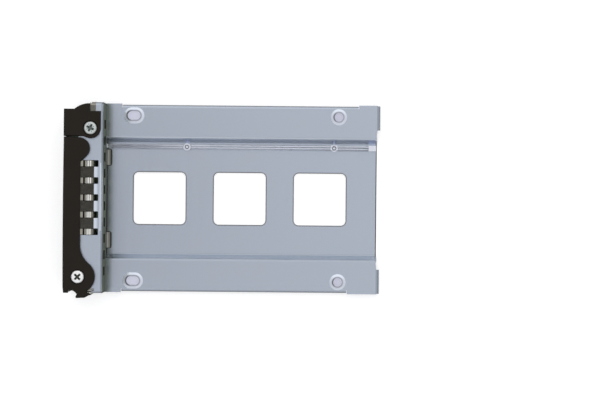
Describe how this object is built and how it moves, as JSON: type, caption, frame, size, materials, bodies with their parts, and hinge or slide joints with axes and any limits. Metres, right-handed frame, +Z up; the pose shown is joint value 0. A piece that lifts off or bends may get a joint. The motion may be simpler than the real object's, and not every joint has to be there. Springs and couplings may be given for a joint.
{
  "type": "hot swap drive caddy",
  "caption": "Folded sheet tray for a small server drive, with raised screw seats, cut-out floor, vented front frame with contact fingers, ejector lever with cam hook and sprung release latch",
  "frame": {"origin": "midway between the two rear drive screw holes, on the plane of the raised seats", "axes": "+X to the drive's connector end, +Z up out of the tray, +Y to the latch side"},
  "size_m": [0.1165, 0.0722, 0.0185],
  "materials": {
    "zinc_sheet": "zinc-coated, satin",
    "stainless_strip": "bright rolled",
    "clear_plastic": "clear, moulded",
    "black_plastic": "satin moulded",
    "turned_steel": "turned",
    "plated_screw": "bright zinc",
    "spring_wire": "drawn"
  },
  "bodies": {
    "caddy": {"tray": "zinc_sheet", "front_frame": "zinc_sheet", "contact_strip": "stainless_strip", "side_spring_latch_end": "stainless_strip", "side_spring_hinge_end": "stainless_strip", "light_pipe": "clear_plastic", "lever_post": "turned_steel", "latch_post": "turned_steel", "lever_screw_top": "plated_screw", "lever_screw_bottom": "plated_screw", "latch_screw_top": "plated_screw", "latch_screw_bottom": "plated_screw", "lever_washers": "turned_steel", "latch_washers": "turned_steel", "lever_spring": "spring_wire", "latch_spring": "spring_wire", "frame_rivets": "turned_steel"},
    "lever": {"lever": "black_plastic"},
    "latch": {"latch": "black_plastic"}
  },
  "joints": [
    {"name": "lever_hinge", "type": "hinge", "parent": "caddy", "child": "lever", "pos_m": [-0.09535, -0.029, 0.00555], "axis": [0, 0, 1], "range_deg": [0, 60]},
    {"name": "latch_hinge", "type": "hinge", "parent": "caddy", "child": "latch", "pos_m": [-0.09113, 0.02544, 0.00555], "axis": [0, 0, 1], "range_deg": [-8, 0], "stiffness_Nm_per_rad": 0.02}
  ]
}
